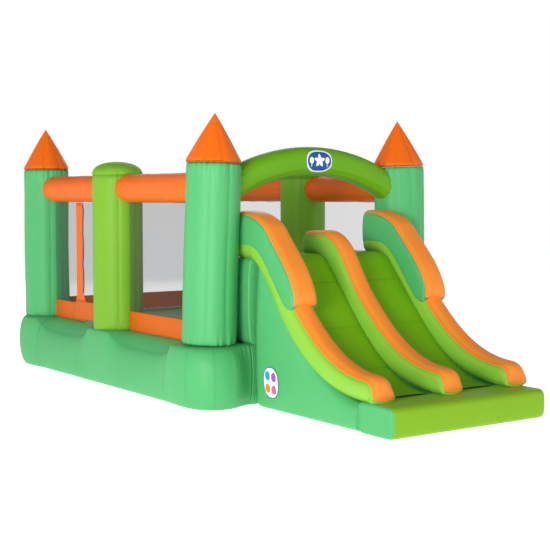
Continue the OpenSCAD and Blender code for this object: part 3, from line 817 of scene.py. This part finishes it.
WING_FOOT = outline(
    [(-30, 1170), (60, 1170), (150, 1176), (230, 1170)],
    [(230, 1170), (390, 1130), (480, 930), (630, 775)],
    [(630, 775), (670, 745), (710, 740), (748, 750)])


CORNER_POINTS, EDGE_POINTS = 7, 10       # of a padded wall's section


def padded_section(a, b, r, side, crown):
    """A rounded rectangle, counter-clockwise from its lower right corner, each corner followed by a side."""
    r = min(r, a, b)
    bend = np.linspace(0, math.pi / 2, CORNER_POINTS)
    corners = [(1, -1, -math.pi / 2), (1, 1, 0), (-1, 1, math.pi / 2), (-1, -1, math.pi)]
    arcs = [np.stack([cx * (a - r) + r * np.cos(start + bend), cy * (b - r) + r * np.sin(start + bend)], 1)
            for cx, cy, start in corners]
    points = []
    for k, arc in enumerate(arcs):
        nxt = arcs[(k + 1) % 4][0]
        points += [arc, np.linspace(arc[-1], nxt, EDGE_POINTS + 2)[1:-1]]
    line = np.vstack(points)
    x, y = line[:, 0] / max(a, 1e-6), line[:, 1] / max(b, 1e-6)
    swell = np.stack([side * (1 - y * y) * x, crown * (1 - x * x) * y], 1)
    return line + swell


# a point in each upper corner, where the side panels are sewn to the top
UPPER_RIGHT = CORNER_POINTS + EDGE_POINTS + 2
UPPER_LEFT = 2 * (CORNER_POINTS + EDGE_POINTS) + 4
TOP_PATCH = slice(UPPER_RIGHT, UPPER_LEFT + 1)


def wall_rings(top, foot, x0, x1, stations=110, corner=0.05, side=0.016, crown=0.008, rear=0.1, nose=0.03):
    """Rings of a padded wall between x0 and x1, and between two outlines, foot and top."""
    top, foot = spaced(top, stations, eased=True), spaced(foot, stations, eased=True)
    middle, half = (top + foot) / 2, (top - foot) / 2
    run = lengths(middle)
    rings = []
    for i in range(stations):
        back = min(run[i] / rear, 1.0) if rear else 1.0
        front = min((run[-1] - run[i]) / nose, 1.0) if nose else 1.0
        width = math.sqrt(max(1 - (1 - back) ** 2.6, 0.0)) * math.sqrt(max(1 - (1 - front) ** 2.4, 0.0))
        width = max(width, 0.02)
        tall = np.linalg.norm(half[i]) * (0.86 + 0.14 * width)
        line = padded_section((x1 - x0) / 2 * width, tall, corner, side * width, crown * width)
        unit = half[i] / max(np.linalg.norm(half[i]), 1e-6)
        forward, height = middle[i, 0] + line[:, 1] * unit[0], middle[i, 1] + line[:, 1] * unit[1]
        rings.append(np.stack([(x0 + x1) / 2 + line[:, 0], FRONT_Y - forward, height], 1))
    return np.array(rings)


def section_seam(rings):
    """Marks along the two upper edges of a padded wall, where its side panels are sewn to its top."""
    seam = np.zeros(rings.shape[:2])
    seam[:, [UPPER_RIGHT, UPPER_LEFT]] = 0.35
    return seam


def trim_on(name, rings, keep, replaces):
    """The orange strip over a padded wall's top, a little proud of it and tucked in at its edges."""
    normal = normals_of(rings)
    centre = rings.mean(1, keepdims=True)
    if ((rings - centre) * normal).sum() < 0:
        normal = -normal
    lift = np.full(rings.shape[1], 0.0028)
    columns = range(TOP_PATCH.start, TOP_PATCH.stop)
    lift[columns[0]] = lift[columns[-1]] = -0.002
    band = (rings + normal * lift[None, :, None])[keep][:, TOP_PATCH]
    seam = np.zeros(band.shape[:2])
    seam[:, 1] = seam[:, -2] = 0.6
    strip = loft(name, band, TRIM, "orange_cloth", closed=False, cap=False, seam=seam, replaces=replaces)
    width = float(np.linalg.norm(np.diff(band, axis=1), axis=2).sum(1).mean())
    length = float(lengths(band[:, band.shape[1] // 2])[-1])


def rails():
    for sign, side in ((-1, "left"), (1, "right")):
        x0, x1 = sorted((sign * SLIDE_HALF, sign * (SLIDE_HALF - RAIL_W)))
        rail = wall_rings(RAIL_TOP, RAIL_FOOT, x0, x1, corner=0.062, side=0.020, crown=0.012)
        loft(f"rail_{side}", rail, RAIL, "lime_cloth", seam=section_seam(rail))
        forward = FRONT_Y - rail[:, :, 1].mean(1)
        trim_on(f"trim_{side}_low", rail, forward > 0.69, [f"trim_{side}"])
        wing = wall_rings(WING_TOP, WING_FOOT, x0 - 0.014, x1 + 0.014, corner=0.05, side=0.014, crown=0.004,
                          rear=0.09, nose=0.012)
        loft(f"wing_{side}", wing, GREEN, "green_cloth", seam=section_seam(wing))
        trim_on(f"trim_{side}_wing", wing, slice(None), [f"trim_{side}"])
    middle = wall_rings(RAIL_TOP, RAIL_FOOT, -DIVIDER_HALF, DIVIDER_HALF, corner=0.055, side=0.014,
                        crown=0.010, rear=0.09)
    loft("divider", middle, RAIL, "lime_cloth", seam=section_seam(middle))
    trim_on("trim_divider", middle, slice(None), ["trim_divider"])


def lanes():
    line = spaced(np.vstack([LANE_LINE, [LANE_LINE[-1] + [0.045, -0.001]]]), 150)
    run = lengths(line)
    tangent = np.gradient(line, axis=0)
    tangent /= np.linalg.norm(tangent, axis=1, keepdims=True)
    up = np.stack([-tangent[:, 1], tangent[:, 0]], 1)
    cross_seams = np.arange(0.62, run[-1], 0.42)
    for sign, side in ((-1, "left"), (1, "right")):
        inner, outer = DIVIDER_HALF - 0.012, SLIDE_HALF - RAIL_W + 0.012
        share = np.linspace(-1, 1, 26)
        crown = 0.014 * (1 - np.abs(share) ** 3) - 0.022 * np.abs(share) ** 10
        rings, seams = [], []
        for i in range(len(line)):
            groove = sum(math.exp(-((run[i] - c) / 0.007) ** 2) for c in cross_seams)
            puff = 0.003 * math.sin(math.pi * (run[i] - 0.2) / 0.42) ** 2
            lift = crown - 0.003 * groove + puff * (1 - share ** 2)
            x = sign * ((inner + outer) / 2 + share * (outer - inner) / 2)
            rings.append(np.stack([x, FRONT_Y - line[i, 0] - up[i, 0] * lift,
                                   line[i, 1] + up[i, 1] * lift], 1))
            seams.append(np.full(26, 0.5 * min(groove, 1)))
        lane = loft(f"lane_{side}", rings, LANE, "slide_cloth", closed=False, cap=False, seam=np.array(seams),
                    replaces=["slide_body"])


def slide_body():
    start = 0.228
    top = LANE_LINE[LANE_LINE[:, 0] > start] - [0, 0.012]
    foot = np.stack([np.linspace(start, 1.485, len(top)), np.zeros(len(top))], 1)
    rings = wall_rings(top, foot, -SLIDE_HALF, SLIDE_HALF, stations=130, corner=0.045, side=0.022, crown=0.0,
                       rear=0.0, nose=0.0)
    for ring in rings:      # a rounded upright edge at the rear
        back = min(max((FRONT_Y - start - ring[:, 1].max()) / 0.11, 0.0), 1.0)
        ring[:, 0] *= 1 - 0.11 * (1 - math.sqrt(1 - (1 - back) ** 2)) / SLIDE_HALF
    loft("slide_body", rings, GREEN, "green_cloth")


def landing():
    lo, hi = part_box("slide_landing")
    depth = hi.y - lo.y
    columns = np.concatenate([-np.cos(np.linspace(0, math.pi / 2, 9)) * 0.035, np.linspace(0, 1, 80)[1:-1],
                              1 + np.sin(np.linspace(0, math.pi / 2, 9)) * 0.035])
    columns = (columns - columns[0]) / (columns[-1] - columns[0]) * (hi.x - lo.x) + lo.x
    rings = []
    for x in columns:
        edge = min(x - lo.x, hi.x - x)
        fall = math.sqrt(max(1 - (1 - min(edge / 0.032, 1)) ** 2, 0.0))
        a, b = depth / 2 + 0.01 - 0.028 * (1 - fall), (hi.z - lo.z) / 2 - 0.022 * (1 - fall)
        line = padded_section(a, b, 0.036, 0.010, 0.004 + 0.002 * math.sin(x * 7))
        rings.append(np.stack([np.full(len(line), x), (lo.y + hi.y) / 2 + line[:, 0] - 0.004,
                               (lo.z + hi.z) / 2 + line[:, 1]], 1))
    green_end = 0.020
    loft("slide_landing", rings, [LANDING, GREEN], "slide_cloth",
         paint=lambda point: min(point[0] - lo.x, hi.x - point[0]) < green_end)


def climbing_ramp():
    lo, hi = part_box("climb_block")
    rear, edge = -(hi.y - FRONT_Y), 0.222
    brow = 0.05
    top = np.vstack([np.linspace((edge, hi.z - 0.012), (-brow + 0.06, hi.z - 0.012), 14),
                     cubic((-brow + 0.06, hi.z - 0.012), (-brow - 0.01, hi.z - 0.012),
                           (-brow - 0.03, hi.z - 0.035), (-brow - 0.05, hi.z - 0.07), 12)[1:],
                     np.linspace((-brow - 0.05, hi.z - 0.07), (rear, lo.z + 0.05), 60)[1:]])
    foot = np.linspace((edge, lo.z), (rear, lo.z), len(top))
    rings = wall_rings(top, foot, lo.x, hi.x, stations=90, corner=0.05, side=0.02, crown=0.006,
                       rear=0.02, nose=0.04)
    loft("climb_block", rings, [LANE, GREEN], "slide_cloth",
         paint=lambda point: min(point[0] - lo.x, hi.x - point[0]) < 0.05 or point[1] < FRONT_Y - 0.16)
    slope = math.atan2(hi.z - lo.z - 0.02, -rear - brow)
    length, radius = 0.34, 0.042
    down = np.array([0, math.cos(slope), -math.sin(slope)])
    out = np.array([0, math.sin(slope), math.cos(slope)])
    bend = np.linspace(0, TAU, 24, endpoint=False)
    spots = [(row, x) for row in (1, 2, 3) for x in (-hi.x / 2, hi.x / 2)]
    for number, (row, x) in enumerate(spots, 1):
        centre = np.array([x, FRONT_Y + brow + row / 4 * (-rear - brow),
                           hi.z - row / 4 * (hi.z - lo.z - 0.02)])
        rings = []
        for t in np.linspace(-1, 1, 27):
            full = max(1 - abs(t) ** 5, 0.0) ** 0.4
            across, rise = radius * full * np.cos(bend), radius * full * np.sin(bend)
            rise = np.where(rise < 0, rise * 0.35, rise)
            rings.append(centre + np.outer(across, down) + np.outer(rise, out)
                         + np.array([t * length / 2, 0, 0]))
        step = loft(f"climb_step_{number}", rings, STEP, "step_cloth", replaces=["climb_steps"])


slide_body()
lanes()
landing()
rails()
climbing_ramp()


CHAMBERS = [f"{kind}_{place}_skin" for kind in ("tower", "cone", "drum") for place in TOWERS]
CHAMBERS += [f"base_{wall}_skin" for wall in ("left", "right", "back", "front")]
CHAMBERS += [f"{kind}_{side}_skin" for kind in ("pillar", "rail", "wing") for side in ("left", "right")]
CHAMBERS += [f"beam_{side}_{bay}" for side in ("left", "right") for bay in ("front", "rear")]
CHAMBERS += ["beam_back_skin", "arch_skin", "slide_body_skin", "slide_landing_skin", "climb_block_skin",
             "divider_skin"]


# ---------- badges ----------

def skin_of(piece):
    mesh = bpy.data.objects[f"{piece}_skin"].data
    return BVHTree.FromPolygons([v.co.copy() for v in mesh.vertices],
                                [list(p.vertices) for p in mesh.polygons])


def round_outline(width, height, power=2.0):
    def radius(angle):
        across, up = abs(math.cos(angle) / width), abs(math.sin(angle) / height)
        return (across ** power + up ** power) ** (-1 / power)
    return radius


def star_outline(size):
    def radius(angle):
        share = ((angle - math.pi / 2) / (TAU / 5)) % 1
        return size * (0.45 + 0.55 * abs(2 * share - 1))
    return radius


def patch(name, piece, origin, across, inward, shapes, material):
    """Shapes laid on a piece's skin by rays along inward: (u, v, outline, material index, lift)."""
    tree = skin_of(piece)
    bm = bmesh.new()
    turns, steps = 64, 9
    for u, v, outline, index, lift in shapes:
        rings = []
        for k in range(steps + 1):
            ring = []
            for angle in np.linspace(0, TAU, turns, endpoint=False):
                r = outline(angle) * k / steps
                start = origin + across * (u + r * math.cos(angle)) + Vector((0, 0, v + r * math.sin(angle)))
                hit, normal, _, _ = tree.ray_cast(start - inward * 0.5, inward)
                edge = 0.0015 if k == steps else 0.0
                normal = -normal if normal.dot(inward) > 0 else normal
                ring.append(bm.verts.new(hit + normal * (lift - edge)))
            rings.append(ring)
        for a, b in zip(rings, rings[1:]):
            for j in range(turns):
                face = bm.faces.new((a[j], b[j], b[(j + 1) % turns], a[(j + 1) % turns]))
                face.material_index = index
    bmesh.ops.remove_doubles(bm, verts=bm.verts, dist=1e-5)
    return make_piece(name, bm, material, "badge_print", replaces=["badges"])


LAYERS = (0.0035, 0.0045, 0.0055)      # how far the backing, the field and the figures lie off the skin


def badges():
    backing, field, figures = LAYERS
    arch_z = ARCH_TOP - BEAM_R
    front = [(0, 0, round_outline(0.124, 0.084, 2.6), 1, backing),
             (0, 0, round_outline(0.115, 0.075, 2.6), 0, field), (0, 0.004, star_outline(0.056), 1, figures)]
    for v, width, height in ((0.006, 0.021, 0.027), (-0.032, 0.003, 0.014)):      # balloons, strings
        front += [(u, v, round_outline(width, height), 1, figures) for u in (-0.076, 0.076)]
    patch("badge_arch", "arch", Vector((0, FRONT_Y - BEAM_R, arch_z - 0.002)), Vector((1, 0, 0)),
          Vector((0, 1, 0)), front, [BLUE, WHITE])
    side = [(0, 0, round_outline(0.096, 0.116, 2.4), 0, backing),
            (0, 0, round_outline(0.090, 0.110, 2.4), 1, field)]
    discs = [(-0.038, 0.048), (0.040, 0.044), (-0.040, -0.046), (0.038, -0.050)]
    side += [(u, v, round_outline(0.032, 0.036), 2 + i, figures) for i, (u, v) in enumerate(discs)]
    patch("badge_slide", "slide_body", Vector((-SLIDE_HALF, FRONT_Y - 0.5, 0.21)), Vector((0, -1, 0)),
          Vector((1, 0, 0)), side, [BLUE, WHITE, *PATCH_COLOURS])


badges()


# ---------- anchor tabs, air sleeve and its strap ----------

def anchor_tabs():
    """Doubled webbing tabs, each with a hole for its grommet."""
    width, length, thick, hole, from_end, tuck = 0.06, 0.13, 0.004, 0.0105, 0.025, 0.05
    wall = span("base_back", 1)[1]
    spots = [(x, wall, 0.0) for x in (-0.7, 0.0, 0.7)]
    spots += [(SLIDE_HALF, FRONT_Y - f, -math.pi / 2) for f in (0.5, 1.25)]
    for number, (x, y, heading) in enumerate(spots, 1):
        rings = []
        for angle in np.linspace(0, TAU, 73):
            c, s = math.cos(angle), math.sin(angle)
            reach = min((width / 2) / max(abs(c), 1e-6), (from_end if s > 0 else length + tuck - from_end)
                        / max(abs(s), 1e-6))
            ring = []
            for r, top in [(hole, 0)] + [(hole + (reach - hole) * k / 8, 1) for k in range(9)] + [(reach, 0)]:
                u, v = r * c, length - from_end + r * s
                lift = thick * 0.6 * ramp(-v, -0.08, 0.05) if v < 0.08 else 0.0
                ring.append((x + u * math.cos(heading) - v * math.sin(heading),
                             y + u * math.sin(heading) + v * math.cos(heading), lift + thick * top))
            rings.append(ring)
        loft(f"anchor_tab_{number}", rings, WEBBING, "webbing", cap=False, replaces=["anchor_tabs"])


def air_sleeve():
    lo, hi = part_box("air_sleeve")
    x, z, r = (lo.x + hi.x) / 2, (lo.z + hi.z) / 2, (hi.x - lo.x) / 2
    turn = np.linspace(0, TAU, 120, endpoint=False)
    start, end = lo.y - 0.03, hi.y - 0.002
    rings, seams = [], []
    for y in np.linspace(start, end, 60):
        share = (y - start) / (end - start)
        to_strap = max(hi.y - 0.048 - y, 0.0)
        pleat = 0.0035 * math.exp(-to_strap / 0.07) * waves(turn, 5, 12, 30, 61)
        sag = 0.004 * waves(turn + 5 * share, 4, 2, 6, 63) * math.sin(math.pi * share)
        radius = r - 0.004 + np.minimum(pleat, 0.002) + sag + 0.004 * math.sin(math.pi * share)
        radius = np.minimum(radius, r if to_strap <= 0 else r + 0.006)
        rings.append(np.stack([x + radius * np.cos(turn), np.full_like(turn, y),
                               z + radius * np.sin(turn)], 1))
        seams.append(math.exp(-(y - lo.y) / 0.01) if y > lo.y else 1.0)
    loft("air_sleeve", rings, GREEN, "green_cloth", cap=False, seam=np.array(seams)[:, None])
    lo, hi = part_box("sleeve_strap")
    outer = (hi.x - lo.x) / 2
    rings = []
    for angle in np.linspace(0, TAU, 121):
        ripple = 0.0006 * math.sin(angle * 17)
        ring = [(outer - 0.003, lo.y), (outer + ripple, lo.y + 0.001), (outer + ripple, (lo.y + hi.y) / 2),
                (outer + ripple, hi.y - 0.001), (outer - 0.003, hi.y)]
        rings.append([(x + a * math.cos(angle), y, z + a * math.sin(angle)) for a, y in ring])
    loft("sleeve_strap", rings, WEBBING, "webbing", cap=False)
    buckle = []
    for u in np.linspace(-0.026, 0.026, 9):
        edge = 0.002 * (abs(u) > 0.024)
        low, high = -outer - 0.008 + edge, -outer + 0.002
        buckle.append([(x + u, y, z + h) for y, h in [(lo.y + 0.001, low), (lo.y + 0.001, high),
                                                      (hi.y - 0.001, high), (hi.y - 0.001, low)]])
    loft("sleeve_buckle", buckle, BLACK, "black_plastic", smooth=False)


BLACK = moulded("black_plastic", (38, 39, 42), rough=0.5)
STEEL = moulded("steel", (168, 170, 174), rough=0.32, grain=0.05, metal=1.0)
anchor_tabs()
air_sleeve()


# ---------- finishes of the hard CAD parts ----------

FINISHES = {
    "brass_grommet": moulded("brass", (196, 160, 92), rough=0.34, grain=0.06, metal=1.0),
    "black_plastic": BLACK,
    "steel": STEEL,
    "blower_shell": moulded("blower_shell", (238, 186, 30), rough=0.42),
    "motor_paint": moulded("motor_paint", (58, 62, 68), rough=0.45),
    "switch_plastic": moulded("switch_plastic", (196, 30, 26), rough=0.3),
}
HARD = {
    "anchor_grommets": "brass_grommet", "deflation_port": "black_plastic", "deflation_cap": "black_plastic",
    "blower_housing": "blower_shell", "blower_feet": "black_plastic", "intake_grille": "black_plastic",
    "grille_screws": "steel", "impeller": "black_plastic", "motor": "motor_paint", "motor_shaft": "steel",
    "rocker_switch": "switch_plastic", "blower_handle": "black_plastic",
}
for node, finish in HARD.items():
    slots = nodes[node].data.materials
    slots.clear()
    slots.append(FINISHES[finish])


# ---------- floor, light and camera ----------

def stage():
    bpy.ops.mesh.primitive_plane_add(size=80, location=(0, 0, -0.001))
    ground = bpy.context.object
    ground.name = "ground"
    g = Graph("ground")
    tone = g.mix(g.noise(0.6, 2), (0.90, 0.90, 0.90), (0.88, 0.88, 0.88))
    ground.data.materials.append(g.finish(Base_Color=tone, Roughness=0.9, Specular_IOR_Level=0.1,
                                          Emission_Color=(1, 1, 1, 1), Emission_Strength=0.70))

    world = bpy.data.worlds.new("studio")
    bpy.context.scene.world = world
    world.use_nodes = True
    tree = world.node_tree
    height = tree.nodes.new("ShaderNodeSeparateXYZ")
    tree.links.new(tree.nodes.new("ShaderNodeTexCoord").outputs["Generated"], height.inputs[0])
    blend = tree.nodes.new("ShaderNodeMapRange")
    blend.inputs["From Min"].default_value, blend.inputs["From Max"].default_value = 0.18, 0.55
    tree.links.new(height.outputs["Z"], blend.inputs["Value"])
    sky = tree.nodes.new("ShaderNodeMix")
    sky.data_type = "RGBA"
    sky.inputs[6].default_value, sky.inputs[7].default_value = (1.0, 1.0, 1.0, 1), (0.20, 0.21, 0.23, 1)
    tree.links.new(blend.outputs["Result"], sky.inputs["Factor"])
    tree.links.new(sky.outputs[2], tree.nodes["Background"].inputs["Color"])
    tree.nodes["Background"].inputs["Strength"].default_value = 1.0
    bpy.context.scene.view_settings.view_transform = "Standard"


def area_light(name, place, target, size, power):
    data = bpy.data.lights.new(name, "AREA")
    data.size, data.energy = size, power
    lamp = bpy.data.objects.new(name, data)
    lamp.location = place
    lamp.rotation_euler = (Vector(target) - Vector(place)).to_track_quat("-Z", "Y").to_euler()
    bpy.context.scene.collection.objects.link(lamp)


def camera():
    data = bpy.data.cameras.new("camera")
    data.lens, data.sensor_width = 78.55, 36
    view = bpy.data.objects.new("camera", data)
    yaw, pitch = math.radians(35.09), math.radians(3.75)
    view.location = (-5.733, -8.608, 1.575)
    ahead = Vector((math.sin(yaw) * math.cos(pitch), math.cos(yaw) * math.cos(pitch), -math.sin(pitch)))
    view.rotation_euler = ahead.to_track_quat("-Z", "Y").to_euler()
    bpy.context.scene.collection.objects.link(view)
    bpy.context.scene.camera = view


stage()
camera()
MIDDLE = (0, 0, 0.8)
area_light("key", (-10.0, -6.5, 2.6), MIDDLE, 3.5, 820)
area_light("fill", (4.0, -12.0, 5.0), MIDDLE, 6.0, 180)
area_light("rear", (6.0, 9.0, 5.0), MIDDLE, 6.0, 200)
